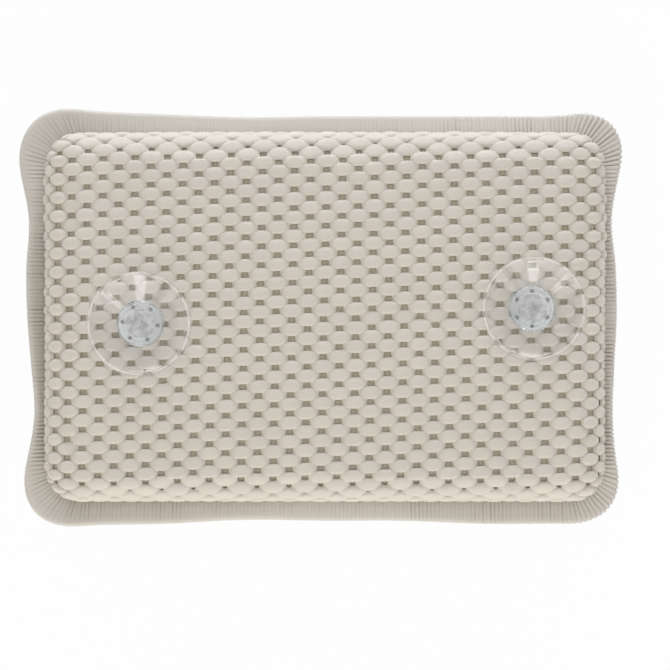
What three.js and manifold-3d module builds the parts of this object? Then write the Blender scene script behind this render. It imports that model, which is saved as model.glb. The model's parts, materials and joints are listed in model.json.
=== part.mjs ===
// Bath pillow: two beaded foam-mesh covers round a foam core, a ribbed band folded over their seam,
// and two clear suction cups on the back, each turning and tilting on its neck between two washers.
// Millimetres, +Z up. The pillow lies on its front, so its back and its cups look up.
// The origin is on the rest plane, under the middle of the pillow.
import * as THREE from "three";
import { mergeVertices } from "three/addons/utils/BufferGeometryUtils.js";
import Module from "manifold-3d";

const wasm = await Module();
wasm.setup();

// Clearance between pieces that lie against each other
const FIT = 0.3;

// Body of the pillow, over the beads
const BODY_LENGTH = 304;
const BODY_WIDTH = 202;
const BACK_DEPTH = 29; // seam to the rim of the back face
const FRONT_DEPTH = 30; // seam to the flat of the front face
const BACK_CROWN = 3; // rise of the back face from its rim to its middle
const EDGE_ROUND = 15; // radius of the soft edges, and of the corners in plan
const SIDE_TUCK = 2.5; // how far the sides draw in from their fullest part to the seam
const FULLEST_HEIGHT = 12; // from the seam to the fullest part of the sides
const EDGE_SQUARENESS_RATIO = 0.6; // 0.55 is a quarter round, 1 a sharp corner

// Covers: foam sheet with oval beads on a web, in rows that stand half a pitch apart in turn.
// Each bead here stands for about two of the moulded ones.
const WEB_WALL = 1.4;
const BEAD_RISE = 1.8;
const BEAD_PITCH = 24;
const ROW_PITCH = 8;
const LIP_WIDTH = 8; // seam allowance
const LIP_WALL = 1.2;

// Band folded over the two seam allowances. Each rib here stands for two or three of the moulded ones.
const BAND_WALL = 1;
const BAND_FOLD = 3.7; // band outside the seam allowances
const BAND_START = 1.6; // open edge of the band, from the seam
const EAR_RISE = 4; // the fold stands out this much further at the corners
const EAR_SPAN = 62; // and falls back over this distance from them
const RIB_PITCH = 5;
const RIB_RISE = 0.6;

// Suction cups, with the dish open away from the pillow
const LEFT_CUP_INSET = 54; // axis of the left cup, from the left end of the body
const LEFT_CUP_OFFSET = -3.5; // and from the lengthwise middle line
const RIGHT_CUP_INSET = 42;
const RIGHT_CUP_OFFSET = 4.5;
const CUP_RADIUS = 27.5;
const CUP_RISE = 12; // underside of the hub to the rim
const RIM_WIDTH = 2.1; // flat ring that seals against the bath
const RIM_WALL = 0.9;
const DISH_WALL = 1.4; // at the hub
const DISH_BOW = 0.4; // how far the dish hangs below a straight cone
const HUB_RADIUS = 11.6;
const HUB_WALL = 3.8;
const HUB_LEDGE = 3.5; // flat ring round the recess in the hub
const HUB_RECESS = 0.8;
const GATE_RADIUS = 1.2; // moulding gate in the middle of the recess
const GATE_RISE = 0.5;
const POCKET_COUNT = 6; // small pockets moulded into the underside of the hub
const POCKET_RADIUS = 0.8;
const POCKET_INSET = 2.2; // from the edge of the hub
const POCKET_DEPTH = 1.2;
const POCKET_SIDES = 8;
const NECK_RADIUS = 4;
const HEAD_FLANGE = 3.2; // how far the head stands out past the neck
const HEAD_SIDE = 2;
const HEAD_DOME = 3.6;
const TILT_DEGREES = 6;
const TILT_SPARE_DEGREES = 1; // extra slope of the hub and head, so that they tilt freely

// Washers outside and inside the back cover, which the neck passes through
const COLLAR_MARGIN = 0.9; // past the hub
const COLLAR_WALL = 1.4;
const WASHER_MARGIN = 3.8; // past the head
const WASHER_WALL = 1.4;
const WASHER_CHAMFER = 0.4;
const LAND_MARGIN = 4; // the cover is flat, with no beads, this far past the collar
const LAND_FADE = 9; // and takes up its shape again over this distance

// Fineness of the surfaces
const SAME_POINT = 1e-4;
const FACE_STEP = 50;
const EDGE_STEPS = 4;
const CORNER_STEPS = 8;
const ROUND_SIDES = 32;
const CURVE_STEPS = 5;

// Sizes and places that follow from those above
const LEFT_CUP = new THREE.Vector2(LEFT_CUP_INSET - BODY_LENGTH / 2, LEFT_CUP_OFFSET);
const RIGHT_CUP = new THREE.Vector2(BODY_LENGTH / 2 - RIGHT_CUP_INSET, RIGHT_CUP_OFFSET);
const COVER_WALL = WEB_WALL + BEAD_RISE;
const COLLAR_RADIUS = HUB_RADIUS + COLLAR_MARGIN;
const HEAD_RADIUS = NECK_RADIUS + HEAD_FLANGE;
const WASHER_RADIUS = HEAD_RADIUS + WASHER_MARGIN;

// Heights along a cup's axis, from the flat land on the cover
const SWING = Math.sin(THREE.MathUtils.degToRad(TILT_DEGREES));
const SLOPE = Math.tan(THREE.MathUtils.degToRad(TILT_DEGREES + TILT_SPARE_DEGREES));
const TILT_GAP = NECK_RADIUS * SWING + FIT;
const COLLAR_TOP = FIT + COLLAR_WALL;
const HUB_SEAT = COLLAR_TOP + TILT_GAP;
const WASHER_TOP = -COVER_WALL - FIT;
const WASHER_BOTTOM = WASHER_TOP - WASHER_WALL;
const HEAD_SEAT = WASHER_BOTTOM - TILT_GAP;
const HEAD_EDGE = HEAD_SEAT - HEAD_FLANGE * SLOPE;
const HEAD_BOTTOM = HEAD_EDGE - HEAD_SIDE - HEAD_DOME;
const NECK_BORE = NECK_RADIUS + ((HUB_SEAT - HEAD_SEAT) / 2) * SWING + FIT;

// Plan of the flat face inside the soft edges, and of the seam
const FACE_X = BODY_LENGTH / 2 - EDGE_ROUND;
const FACE_Y = BODY_WIDTH / 2 - EDGE_ROUND;
const SEAM_X = BODY_LENGTH / 2 - SIDE_TUCK;
const SEAM_Y = BODY_WIDTH / 2 - SIDE_TUCK;
const SEAM_RADIUS = EDGE_ROUND - SIDE_TUCK;
const HALF_GAP = FIT / 2; // half of the clearance between the two covers at the seam
const SEAM_Z = FRONT_DEPTH + HALF_GAP;

// Materials

const coverFoam = new THREE.MeshStandardMaterial({ color: 0xd0c8bd, roughness: 0.75, metalness: 0 });
const bandFoam = new THREE.MeshStandardMaterial({ color: 0xc2baae, roughness: 0.7, metalness: 0 });
const coreFoam = new THREE.MeshStandardMaterial({ color: 0xa89d80, roughness: 0.95, metalness: 0 });
const clearVinyl = new THREE.MeshStandardMaterial({
  color: 0xe4eaec,
  roughness: 0.1,
  metalness: 0,
  transparent: true,
  opacity: 0.35,
});

// Solids and simple shapes

function solidOf(geometry) {
  const bare = geometry.clone();
  bare.deleteAttribute("normal");
  bare.deleteAttribute("uv");
  const merged = mergeVertices(bare, SAME_POINT);
  const corners = merged.index.array;
  const faces = [];
  for (let i = 0; i < corners.length; i += 3) {
    const [a, b, c] = corners.slice(i, i + 3);
    if (a !== b && b !== c && c !== a) faces.push(a, b, c);
  }
  return new wasm.Manifold(
    new wasm.Mesh({
      numProp: 3,
      vertProperties: new Float32Array(merged.attributes.position.array),
      triVerts: new Uint32Array(faces),
    }),
  );
}

function geometryOf(solid) {
  const mesh = solid.getMesh();
  const geometry = new THREE.BufferGeometry();
  geometry.setAttribute("position", new THREE.BufferAttribute(mesh.vertProperties, 3));
  geometry.setIndex(new THREE.BufferAttribute(mesh.triVerts, 1));
  geometry.computeVertexNormals();
  return geometry;
}

// Revolves [radius, height] points about Z.
function revolved(points) {
  const profile = points.map(([radius, height]) => new THREE.Vector2(radius, height));
  return new THREE.LatheGeometry(profile, ROUND_SIDES).rotateX(Math.PI / 2);
}

function upright(radius, bottom, top, sides = ROUND_SIDES) {
  const post = new THREE.CylinderGeometry(radius, radius, top - bottom, sides);
  return post.rotateX(Math.PI / 2).translate(0, 0, (top + bottom) / 2);
}

// Outline of the seam, moved outward.
function seamOutline(outward) {
  const radius = SEAM_RADIUS + outward;
  const centreX = SEAM_X - SEAM_RADIUS;
  const centreY = SEAM_Y - SEAM_RADIUS;
  const outline = new THREE.Shape();
  outline.moveTo(centreX + radius, -centreY);
  outline.absarc(centreX, centreY, radius, 0, 0.5 * Math.PI);
  outline.absarc(-centreX, centreY, radius, 0.5 * Math.PI, Math.PI);
  outline.absarc(-centreX, -centreY, radius, Math.PI, 1.5 * Math.PI);
  outline.absarc(centreX, -centreY, radius, 1.5 * Math.PI, 2 * Math.PI);
  return outline;
}

function seamPlate(outward, bottom, top) {
  const plate = new THREE.ExtrudeGeometry(seamOutline(outward), {
    depth: top - bottom,
    bevelEnabled: false,
    curveSegments: CORNER_STEPS,
  });
  return plate.translate(0, 0, bottom);
}

// Skins: the domed surfaces of the covers, of their insides and of the core

// Section of the soft edge, from the flat face out and down to the seam, drawn in by an inset.
function edgeSection(depth, inset) {
  const top = depth - inset;
  const full = EDGE_ROUND - inset;
  const seam = full - SIDE_TUCK;
  const section = new THREE.Path();
  section.moveTo(0, top);
  const shoulder = THREE.MathUtils.lerp(FULLEST_HEIGHT, top, EDGE_SQUARENESS_RATIO);
  section.bezierCurveTo(EDGE_SQUARENESS_RATIO * full, top, full, shoulder, full, FULLEST_HEIGHT);
  section.bezierCurveTo(full, FULLEST_HEIGHT / 2, seam, FULLEST_HEIGHT / 3, seam, 0);
  return section;
}

function crownAt(x, y) {
  return BACK_CROWN * (1 - (x / SEAM_X) ** 2) * (1 - (y / SEAM_Y) ** 2);
}

// Middle of the land under a cup, above the back cover's seam.
function landCentre(cup) {
  return new THREE.Vector3(cup.x, cup.y, BACK_DEPTH + crownAt(cup.x, cup.y));
}

// 1 on the flat land under a cup's collar, 0 well away from it.
function landShare(x, y, cup) {
  const past = Math.hypot(x - cup.x, y - cup.y) - COLLAR_RADIUS - LAND_MARGIN;
  return 1 - THREE.MathUtils.smoothstep(past, 0, LAND_FADE);
}

function backCrown(x, y) {
  let rise = crownAt(x, y);
  for (const cup of [LEFT_CUP, RIGHT_CUP]) {
    rise = THREE.MathUtils.lerp(rise, crownAt(cup.x, cup.y), landShare(x, y, cup));
  }
  return rise;
}

const noCrown = () => 0;

// Point of a skin laid over a flat sheet: (across, along) are measured on the sheet from its middle, and
// edgeRun is the length of sheet that the soft edge takes. Corners gather the sheet into a round.
function skinPoint(across, along, edgeRun, section, crown) {
  const overX = Math.max(0, Math.abs(across) - FACE_X) / edgeRun;
  const overY = Math.max(0, Math.abs(along) - FACE_Y) / edgeRun;
  const roundX = overX * Math.sqrt(1 - (overY * overY) / 2);
  const roundY = overY * Math.sqrt(1 - (overX * overX) / 2);
  const reach = Math.min(1, Math.hypot(roundX, roundY));
  const edge = section.getPoint(reach);
  const outward = reach > 0 ? edge.x / reach : 0;
  const x = Math.sign(across) * (Math.min(Math.abs(across), FACE_X) + outward * roundX);
  const y = Math.sign(along) * (Math.min(Math.abs(along), FACE_Y) + outward * roundY);
  return new THREE.Vector3(x, y, edge.y + crown(x, y));
}

// Closed dome: a grid of points over a flat base, with a short skirt below the seam if asked.
function dome(columns, rows, pointAt, skirt = 0) {
  const points = [];
  const faces = [];
  const at = (i, j) => j * (columns + 1) + i;
  for (let j = 0; j <= rows; j++) {
    for (let i = 0; i <= columns; i++) points.push(pointAt(i, j));
  }
  for (let j = 0; j < rows; j++) {
    for (let i = 0; i < columns; i++) {
      const [a, b, c, d] = [at(i, j), at(i + 1, j), at(i + 1, j + 1), at(i, j + 1)];
      if ((i + j) % 2 === 0) faces.push(a, b, c, a, c, d);
      else faces.push(a, b, d, b, c, d);
    }
  }
  const border = [];
  for (let i = 0; i < columns; i++) border.push(at(i, 0));
  for (let j = 0; j < rows; j++) border.push(at(columns, j));
  for (let i = columns; i > 0; i--) border.push(at(i, rows));
  for (let j = rows; j > 0; j--) border.push(at(0, j));
  const hem = border.map((index) => points.push(points[index].clone().setZ(-skirt)) - 1);
  const middle = points.push(new THREE.Vector3(0, 0, -skirt)) - 1;
  border.forEach((index, k) => {
    const next = (k + 1) % border.length;
    faces.push(index, hem[k], hem[next], index, hem[next], border[next]);
    faces.push(middle, hem[next], hem[k]);
  });
  return new THREE.BufferGeometry().setFromPoints(points).setIndex(faces);
}

// Sheet positions in one direction: even steps over the flat face, and over each soft edge.
function smoothLines(faceHalf, edgeRun) {
  const faceSteps = Math.round((2 * faceHalf) / FACE_STEP);
  const lines = [];
  for (let k = EDGE_STEPS; k > 0; k--) lines.push(-faceHalf - (edgeRun * k) / EDGE_STEPS);
  for (let k = 0; k <= faceSteps; k++) lines.push(faceHalf * ((2 * k) / faceSteps - 1));
  for (let k = 1; k <= EDGE_STEPS; k++) lines.push(faceHalf + (edgeRun * k) / EDGE_STEPS);
  return lines;
}

function evenLines(half, step) {
  const count = Math.round((2 * half) / step);
  return Array.from({ length: count + 1 }, (_, k) => half * ((2 * k) / count - 1));
}

function smoothDome(depth, inset, crown, skirt) {
  const edgeRun = edgeSection(depth, 0).getLength();
  const section = edgeSection(depth, inset);
  const across = smoothLines(FACE_X, edgeRun);
  const along = smoothLines(FACE_Y, edgeRun);
  const pointAt = (i, j) => skinPoint(across[i], along[j], edgeRun, section, crown);
  return dome(across.length - 1, along.length - 1, pointAt, skirt);
}

// The grid's points are bead tops and mesh holes in turn, as on a chequerboard.
function beadedDome(depth, crown) {
  const tops = edgeSection(depth, 0);
  const holes = edgeSection(depth, BEAD_RISE);
  const edgeRun = tops.getLength();
  const across = evenLines(FACE_X + edgeRun, BEAD_PITCH / 2);
  const along = evenLines(FACE_Y + edgeRun, ROW_PITCH);
  const columns = across.length - 1;
  const rows = along.length - 1;
  return dome(columns, rows, (i, j) => {
    const top = skinPoint(across[i], along[j], edgeRun, tops, crown);
    const onBorder = i === 0 || j === 0 || i === columns || j === rows;
    if ((i + j) % 2 === 0 || onBorder) return top;
    const hole = skinPoint(across[i], along[j], edgeRun, holes, crown);
    const land = Math.max(landShare(top.x, top.y, LEFT_CUP), landShare(top.x, top.y, RIGHT_CUP));
    return hole.lerp(top, land);
  });
}

// Covers

function backCover() {
  let cover = solidOf(beadedDome(BACK_DEPTH, backCrown));
  cover = cover.add(solidOf(seamPlate(LIP_WIDTH, 0, LIP_WALL)));
  cover = cover.subtract(solidOf(smoothDome(BACK_DEPTH, COVER_WALL, backCrown)));
  for (const cup of [LEFT_CUP, RIGHT_CUP]) {
    const cuts = [
      upright(NECK_BORE, -2 * COVER_WALL, COVER_WALL),
      upright(WASHER_RADIUS + 2 * FIT, WASHER_BOTTOM, -COVER_WALL),
    ];
    for (const shape of cuts) cover = cover.subtract(solidOf(shape.translate(...landCentre(cup))));
  }
  return geometryOf(cover);
}

function frontCover() {
  const skin = solidOf(smoothDome(FRONT_DEPTH, 0, noCrown));
  const lip = solidOf(seamPlate(LIP_WIDTH, 0, LIP_WALL));
  const inside = solidOf(smoothDome(FRONT_DEPTH, COVER_WALL, noCrown));
  return geometryOf(skin.add(lip).subtract(inside));
}

// Core: fills both covers, with a stepped pocket for each cup's washer and head

function foamCore() {
  const inset = COVER_WALL + FIT;
  const back = smoothDome(BACK_DEPTH, inset, backCrown, HALF_GAP).translate(0, 0, HALF_GAP);
  const front = smoothDome(FRONT_DEPTH, inset, noCrown, HALF_GAP).rotateX(Math.PI).translate(0, 0, -HALF_GAP);
  let core = solidOf(back).add(solidOf(front));
  const headRoom = HEAD_RADIUS + (HUB_SEAT - HEAD_BOTTOM) * SWING + FIT;
  const headFloor = HEAD_BOTTOM - HEAD_RADIUS * SWING - FIT;
  for (const cup of [LEFT_CUP, RIGHT_CUP]) {
    const pockets = [
      upright(WASHER_RADIUS + 3 * FIT, WASHER_BOTTOM - FIT, COVER_WALL),
      upright(headRoom, headFloor, COVER_WALL),
    ];
    const seat = landCentre(cup);
    seat.z += HALF_GAP;
    for (const pocket of pockets) core = core.subtract(solidOf(pocket.translate(...seat)));
  }
  return geometryOf(core);
}

// Band: a ribbed ring along the seam, with a slot from its open edge for the two seam allowances

function earAt(place) {
  const distance = Math.hypot(SEAM_X - Math.abs(place.x), SEAM_Y - Math.abs(place.y));
  return (EAR_RISE / 2) * (1 + Math.cos(Math.PI * Math.min(1, distance / EAR_SPAN)));
}

function ribbedRing(inner, outer, half) {
  const seam = seamOutline(0);
  const steps = 2 * Math.round(seam.getLength() / RIB_PITCH);
  const points = [];
  const faces = [];
  for (let k = 0; k < steps; k++) {
    const place = seam.getPoint(k / steps);
    const tangent = seam.getTangent(k / steps);
    const groove = k % 2 === 0 ? 0 : RIB_RISE;
    const edge = outer + earAt(place) - groove;
    const side = half - groove;
    const section = [
      [inner, -side],
      [edge, -side],
      [edge, side],
      [inner, side],
    ];
    for (const [outward, height] of section) {
      const x = place.x + outward * tangent.y;
      const y = place.y - outward * tangent.x;
      points.push(new THREE.Vector3(x, y, height));
    }
    const corners = section.length;
    for (let c = 0; c < corners; c++) {
      const here = corners * k + c;
      const beside = corners * k + ((c + 1) % corners);
      const next = (here + corners) % (corners * steps);
      const nextBeside = (beside + corners) % (corners * steps);
      faces.push(here, nextBeside, beside, here, next, nextBeside);
    }
  }
  return new THREE.BufferGeometry().setFromPoints(points).setIndex(faces);
}

function edgeBand() {
  const slotHalf = HALF_GAP + LIP_WALL + FIT;
  const slotEnd = LIP_WIDTH + FIT;
  const ring = ribbedRing(BAND_START, slotEnd + BAND_FOLD, slotHalf + BAND_WALL + RIB_RISE);
  return geometryOf(solidOf(ring).subtract(solidOf(seamPlate(slotEnd, -slotHalf, slotHalf))));
}

// Suction cup: head, neck, hub and dish in one moulding

function cupProfile() {
  const rim = HUB_SEAT + CUP_RISE;
  const hubEdge = HUB_SEAT + (HUB_RADIUS - NECK_RADIUS) * SLOPE;
  const hubTop = HUB_SEAT + HUB_WALL;
  const floor = hubTop - HUB_RECESS;
  const recess = HUB_RADIUS - HUB_LEDGE;
  const mouth = new THREE.Vector2(CUP_RADIUS - RIM_WIDTH, rim);
  const foot = new THREE.Vector2(HUB_RADIUS, hubTop);
  const belly = mouth.clone().lerp(foot, 0.5);
  belly.y -= 2 * DISH_BOW;
  const dish = new THREE.QuadraticBezierCurve(mouth, belly, foot);
  const inside = dish.getPoints(CURVE_STEPS);
  const back = inside.map((point, k) => {
    const along = dish.getTangent(k / CURVE_STEPS);
    const wall = THREE.MathUtils.lerp(RIM_WALL, DISH_WALL, k / CURVE_STEPS);
    return new THREE.Vector2(point.x - wall * along.y, point.y + wall * along.x);
  });
  const domeCentre = HEAD_BOTTOM + HEAD_DOME;
  const headDome = new THREE.EllipseCurve(0, domeCentre, HEAD_RADIUS, HEAD_DOME, -Math.PI / 2, 0);
  const traced = (points) => points.map((point) => [Math.max(0, point.x), point.y]);
  return [
    ...traced(headDome.getPoints(CURVE_STEPS)),
    [HEAD_RADIUS, HEAD_EDGE],
    [NECK_RADIUS, HEAD_SEAT],
    [NECK_RADIUS, HUB_SEAT],
    [HUB_RADIUS, hubEdge],
    ...traced(back.reverse()),
    [CUP_RADIUS, rim - RIM_WALL],
    [CUP_RADIUS, rim],
    ...traced(inside),
    [recess, hubTop],
    [recess, floor],
    [GATE_RADIUS, floor],
    [GATE_RADIUS, floor + GATE_RISE],
    [0, floor + GATE_RISE],
  ];
}

function suctionCup() {
  let cup = solidOf(revolved(cupProfile()));
  const circle = HUB_RADIUS - POCKET_INSET;
  const pocketTop = HUB_SEAT + (circle - NECK_RADIUS) * SLOPE + POCKET_DEPTH;
  for (let k = 0; k < POCKET_COUNT; k++) {
    const angle = (2 * Math.PI * (k + 0.5)) / POCKET_COUNT;
    const pocket = upright(POCKET_RADIUS, HUB_SEAT, pocketTop, POCKET_SIDES);
    pocket.translate(circle * Math.cos(angle), circle * Math.sin(angle), 0);
    cup = cup.subtract(solidOf(pocket));
  }
  return geometryOf(cup);
}

function washer(radius, bottom, top) {
  const edge = radius - WASHER_CHAMFER;
  return revolved([
    [NECK_BORE, bottom],
    [edge, bottom],
    [radius, bottom + WASHER_CHAMFER],
    [radius, top - WASHER_CHAMFER],
    [edge, top],
    [NECK_BORE, top],
    [NECK_BORE, bottom],
  ]);
}

// Assembly

function piece(name, geometry, material) {
  const mesh = new THREE.Mesh(geometry, material);
  mesh.name = name;
  return mesh;
}

// Everything is placed from the seam, which runs round the pillow at half its height.
const pillow = new THREE.Group();
pillow.position.z = SEAM_Z;

const back = piece("back_cover", backCover(), coverFoam);
back.position.z = HALF_GAP;
const front = piece("front_cover", frontCover(), coverFoam);
front.position.z = -HALF_GAP;
front.rotation.x = Math.PI;
const band = piece("edge_band", edgeBand(), bandFoam);
const core = piece("foam_core", foamCore(), coreFoam);
pillow.add(back, front, band, core);

function cupStack(side, cup) {
  const stack = new THREE.Group();
  stack.position.copy(landCentre(cup));
  stack.position.z += HALF_GAP;
  stack.add(piece(`${side}_cup`, suctionCup(), clearVinyl));
  stack.add(piece(`${side}_collar`, washer(COLLAR_RADIUS, FIT, COLLAR_TOP), clearVinyl));
  stack.add(piece(`${side}_washer`, washer(WASHER_RADIUS, WASHER_BOTTOM, WASHER_TOP), clearVinyl));
  return stack;
}

pillow.add(cupStack("left", LEFT_CUP), cupStack("right", RIGHT_CUP));

export default pillow;
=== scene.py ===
# %% [markdown]
# # A bath pillow on two suction cups
#
# The pillow is a block of soft foam between two covers of foam-coated mesh. A ribbed band is folded over
# the seam between the covers, and two clear suction cups are buttoned through the back cover.
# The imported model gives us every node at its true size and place. We load it first and keep it fixed, and
# then build each visible piece around it, in metres and in the same frame.

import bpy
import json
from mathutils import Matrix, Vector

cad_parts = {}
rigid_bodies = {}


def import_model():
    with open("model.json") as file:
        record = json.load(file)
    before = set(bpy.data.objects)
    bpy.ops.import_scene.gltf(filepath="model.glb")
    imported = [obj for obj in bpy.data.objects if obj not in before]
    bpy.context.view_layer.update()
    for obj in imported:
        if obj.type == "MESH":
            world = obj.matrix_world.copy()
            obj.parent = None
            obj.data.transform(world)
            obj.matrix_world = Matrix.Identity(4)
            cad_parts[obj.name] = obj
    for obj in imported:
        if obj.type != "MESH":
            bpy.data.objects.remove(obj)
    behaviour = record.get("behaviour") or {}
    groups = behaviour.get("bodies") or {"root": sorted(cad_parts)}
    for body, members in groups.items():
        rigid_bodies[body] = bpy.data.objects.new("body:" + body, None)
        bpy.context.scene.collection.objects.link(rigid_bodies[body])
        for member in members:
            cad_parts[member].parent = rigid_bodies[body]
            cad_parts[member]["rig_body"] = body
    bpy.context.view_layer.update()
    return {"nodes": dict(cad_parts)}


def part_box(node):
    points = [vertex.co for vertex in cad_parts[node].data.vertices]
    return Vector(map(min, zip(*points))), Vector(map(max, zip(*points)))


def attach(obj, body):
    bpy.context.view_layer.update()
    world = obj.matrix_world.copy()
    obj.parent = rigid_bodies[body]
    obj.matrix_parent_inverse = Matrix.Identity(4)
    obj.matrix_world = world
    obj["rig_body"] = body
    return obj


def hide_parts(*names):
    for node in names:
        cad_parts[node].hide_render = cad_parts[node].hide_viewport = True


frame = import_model()

# %% [markdown]
# ## The camera
#
# The photograph looks straight down on the pillow's back, from about a metre. We could guess a lens and
# nudge the camera about, but it is easier to work in pixels: a focal length in pixels fixes the scale, and
# the shift puts the pillow's middle where it lies in the square picture.

# %% Camera above the pillow
import bpy

PICTURE = 670
CAMERA_HEIGHT = 1.03
FOCAL_PIXELS = 1818
MIDDLE_PIXEL = (325, 317)

lens = bpy.data.cameras.new("camera")
lens.lens = FOCAL_PIXELS / PICTURE * lens.sensor_width
lens.shift_x = 0.5 - MIDDLE_PIXEL[0] / PICTURE
lens.shift_y = MIDDLE_PIXEL[1] / PICTURE - 0.5
camera = bpy.data.objects.new("camera", lens)
camera.location = (0, 0, CAMERA_HEIGHT)
bpy.context.scene.collection.objects.link(camera)
bpy.context.scene.camera = camera
print("lens", round(lens.lens, 1), "mm, shift", round(lens.shift_x, 4), round(lens.shift_y, 4))

# %% [markdown]
# ## Light
#
# The photograph is a product shot, with one wide softbox beyond the pillow and one on the near side, both
# low. That shows in the band: its ribs are dark-lined left and right, where the light crosses them, and
# nearly vanish at the top and bottom, where it runs along them. Sun lamps would be simpler, but their hard
# shadows would cut every bead out. The far light is a little cool and the near one a little warm, and two
# small softboxes, one overhead and a white world fill in. The lamps on the near side are kept out of
# reflections, because the cups get streaks of their own later.

# %% Lamps and world
from mathutils import Vector

COOL, WARM, WHITE = (0.95, 0.99, 1.05), (1.03, 1.0, 0.95), (1.0, 1.0, 1.0)
LAMPS = {
    "far_softbox": {"place": (0.0, 1.6, 0.30), "size": (2.4, 0.50), "power": 24, "colour": COOL},
    "near_softbox": {"place": (0.0, -1.6, 0.66), "size": (2.4, 1.1), "power": 18.6, "colour": WARM},
    "left_softbox": {"place": (-1.1, -0.75, 0.65), "size": (0.3, 0.8), "power": 1.5, "colour": WARM},
    "right_softbox": {"place": (1.1, -0.75, 0.65), "size": (0.3, 0.8), "power": 1.5, "colour": COOL},
    "top_softbox": {"place": (0.0, 0.1, 1.9), "size": (1.1, 1.1), "power": 8.5, "colour": WHITE},
}
NOT_MIRRORED = ("near_softbox", "left_softbox", "right_softbox")
WORLD_LEVEL = 0.37


def add_lamp(name, place, size, power, colour):
    """Rectangular lamp that looks at the middle of the pillow."""
    lamp = bpy.data.lights.new(name, "AREA")
    lamp.shape = "RECTANGLE"
    lamp.size, lamp.size_y = size
    lamp.energy = power
    lamp.color = colour
    holder = bpy.data.objects.new(name, lamp)
    holder.location = place
    holder.visible_glossy = name not in NOT_MIRRORED
    holder.rotation_euler = (-Vector(place)).to_track_quat("-Z", "Y").to_euler()
    bpy.context.scene.collection.objects.link(holder)
    return holder


for lamp_name, lamp_values in LAMPS.items():
    add_lamp(lamp_name, **lamp_values)
world = bpy.data.worlds.new("studio")
world.use_nodes = True
world.node_tree.nodes["Background"].inputs["Color"].default_value = (*WHITE, 1)
world.node_tree.nodes["Background"].inputs["Strength"].default_value = WORLD_LEVEL
bpy.context.scene.world = world
bpy.context.scene.view_settings.view_transform = "Standard"
print("lamps:", list(LAMPS))

# %% [markdown]
# ## Floor and backdrop
#
# The pillow lies on a white table. A plane would do for the photograph's view, but from low down it would
# end in a horizon, so we sweep the rim of a round floor up into a low wall, as photographers do with a roll
# of paper. It has to look white without more lamp light: its material sends plain white to the camera, to
# reflections and through clear pieces, with a little of the lit floor mixed in, which keeps the shadow.

# %% Floor that reads as white
FLOOR_COLOUR = (0.9, 0.9, 0.9)
FLOOR_WHITE = 1.0
SHADOW_SHARE = 0.05


def new_material(name):
    material = bpy.data.materials.new(name)
    material.use_nodes = True
    return material, material.node_tree.nodes, material.node_tree.links


def any_ray(nodes, links, first, *others):
    """Socket that is 1 for rays of any of these kinds, and 0 for the rest."""
    rays = nodes.new("ShaderNodeLightPath")
    found = rays.outputs[first]
    for kind in others:
        either = nodes.new("ShaderNodeMath")
        either.operation = "MAXIMUM"
        links.new(found, either.inputs[0])
        links.new(rays.outputs[kind], either.inputs[1])
        found = either.outputs[0]
    return found


def floor_material():
    paint, nodes, links = new_material("white_floor")
    nodes.remove(nodes["Principled BSDF"])
    lit = nodes.new("ShaderNodeBsdfDiffuse")
    lit.inputs["Color"].default_value = (*FLOOR_COLOUR, 1)
    white = nodes.new("ShaderNodeEmission")
    white.inputs["Strength"].default_value = FLOOR_WHITE
    share = nodes.new("ShaderNodeMath")
    share.operation = "MULTIPLY"
    share.inputs[1].default_value = 1 - SHADOW_SHARE
    seen = any_ray(nodes, links, "Is Camera Ray", "Is Glossy Ray", "Is Transmission Ray")
    links.new(seen, share.inputs[0])
    mix = nodes.new("ShaderNodeMixShader")
    links.new(share.outputs[0], mix.inputs["Fac"])
    links.new(lit.outputs[0], mix.inputs[1])
    links.new(white.outputs[0], mix.inputs[2])
    links.new(mix.outputs[0], nodes["Material Output"].inputs["Surface"])
    return paint


white_floor = floor_material()
print("floor material:", white_floor.name)

# %% Floor with a wall swept up from it
import numpy as np

FLOOR_RADIUS = 3.0
COVE_ROUND = 1.2
COVE_STEPS, COVE_SIDES = 12, 96


def ring_faces(rings, sides, closed=False):
    """Quads between rings of points that lie one after another, and from the last to the first if closed."""
    faces = []
    for ring in range(rings if closed else rings - 1):
        here, above = ring * sides, (ring + 1) % rings * sides
        for k in range(sides):
            after = (k + 1) % sides
            faces.append((here + k, here + after, above + after, above + k))
    return faces


def cove_mesh():
    """A round floor with its rim bent up."""
    bend = np.linspace(0, np.pi / 2, COVE_STEPS + 1)
    way = np.linspace(0, 2 * np.pi, COVE_SIDES, endpoint=False)
    radius = FLOOR_RADIUS + COVE_ROUND * np.sin(bend)[:, None]
    height = COVE_ROUND * (1 - np.cos(bend))[:, None] + 0 * way
    points = np.stack([radius * np.cos(way), radius * np.sin(way), height], axis=2).reshape(-1, 3)
    wall = [(b, a, d, c) for a, b, c, d in ring_faces(COVE_STEPS + 1, COVE_SIDES)]
    mesh = bpy.data.meshes.new("floor")
    mesh.from_pydata(points.tolist(), [], [tuple(range(COVE_SIDES)), *wall])
    mesh.polygons.foreach_set("use_smooth", [False] + [True] * len(wall))
    return mesh


floor_mesh = cove_mesh()
floor_mesh.materials.append(white_floor)
floor = bpy.data.objects.new("floor", floor_mesh)
bpy.context.scene.collection.objects.link(floor)
print("floor", 2 * FLOOR_RADIUS, "m wide, with a wall of", COVE_ROUND, "m")

# %% [markdown]
# ## The shape of the covers
#
# Each cover starts as a flat sheet. It lies flat over the filling, bends over a soft edge and ends upright
# at the seam. We describe that edge once, as a section drawn with two Bezier curves, and measure how much
# sheet it uses. A point of the flat sheet then finds its place by the length of sheet it has used up, so
# that the beads keep their spacing round the bend. At the corners, a square of the sheet is gathered into
# a quarter disc. It starts a little inside the edges, which makes the corners rounder than the edges are.

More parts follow.
